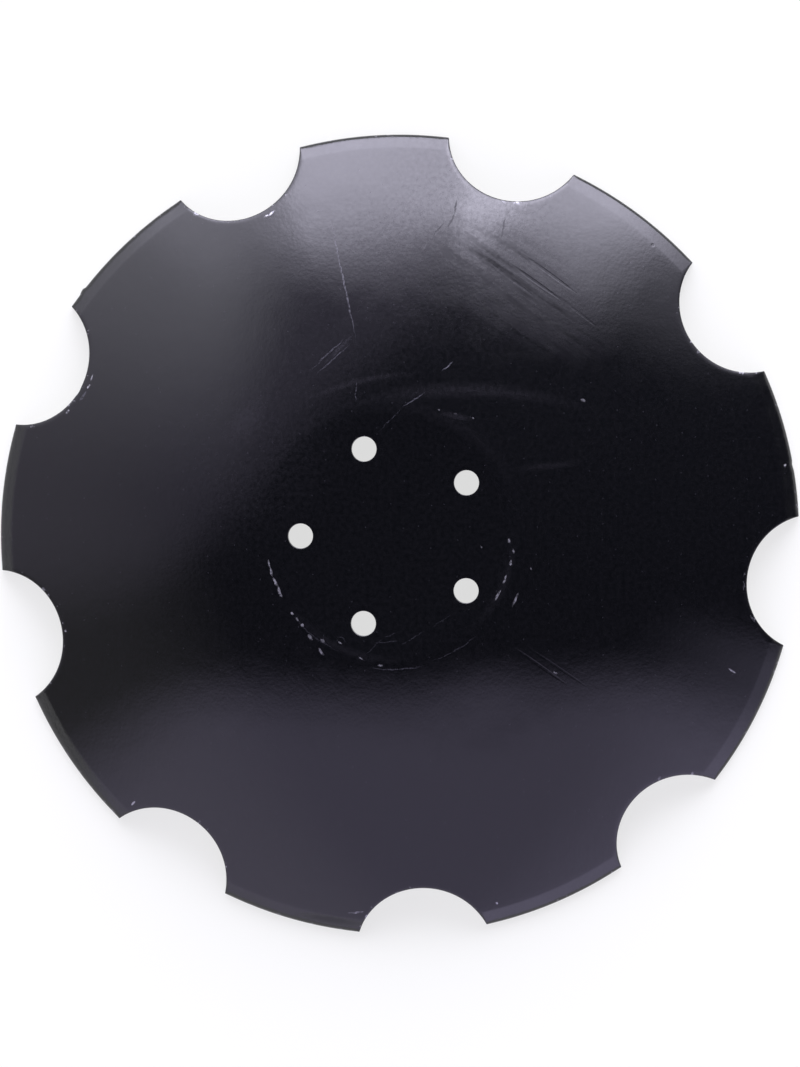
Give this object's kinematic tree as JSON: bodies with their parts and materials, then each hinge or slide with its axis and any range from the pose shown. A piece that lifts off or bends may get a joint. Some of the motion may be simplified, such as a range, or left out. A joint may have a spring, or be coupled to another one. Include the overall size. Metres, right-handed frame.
{
  "type": "harrow disc blade",
  "caption": "Dished steel harrow disc blade with a notched, bevelled rim and a flat hub seat drilled for bolts.",
  "frame": {"origin": "centre of the rim plane, on the axis of the blade, so the teeth stand on z = 0", "axes": "+Z along the axis, out of the domed side; one bolt hole lies on the -X side; +Y is up in the picture"},
  "size_m": [0.5596, 0.5588, 0.076],
  "materials": {
    "black_enamel": "satin gloss, lightly scuffed"
  },
  "bodies": {
    "root": {"disc_blade": "black_enamel"}
  },
  "joints": []
}
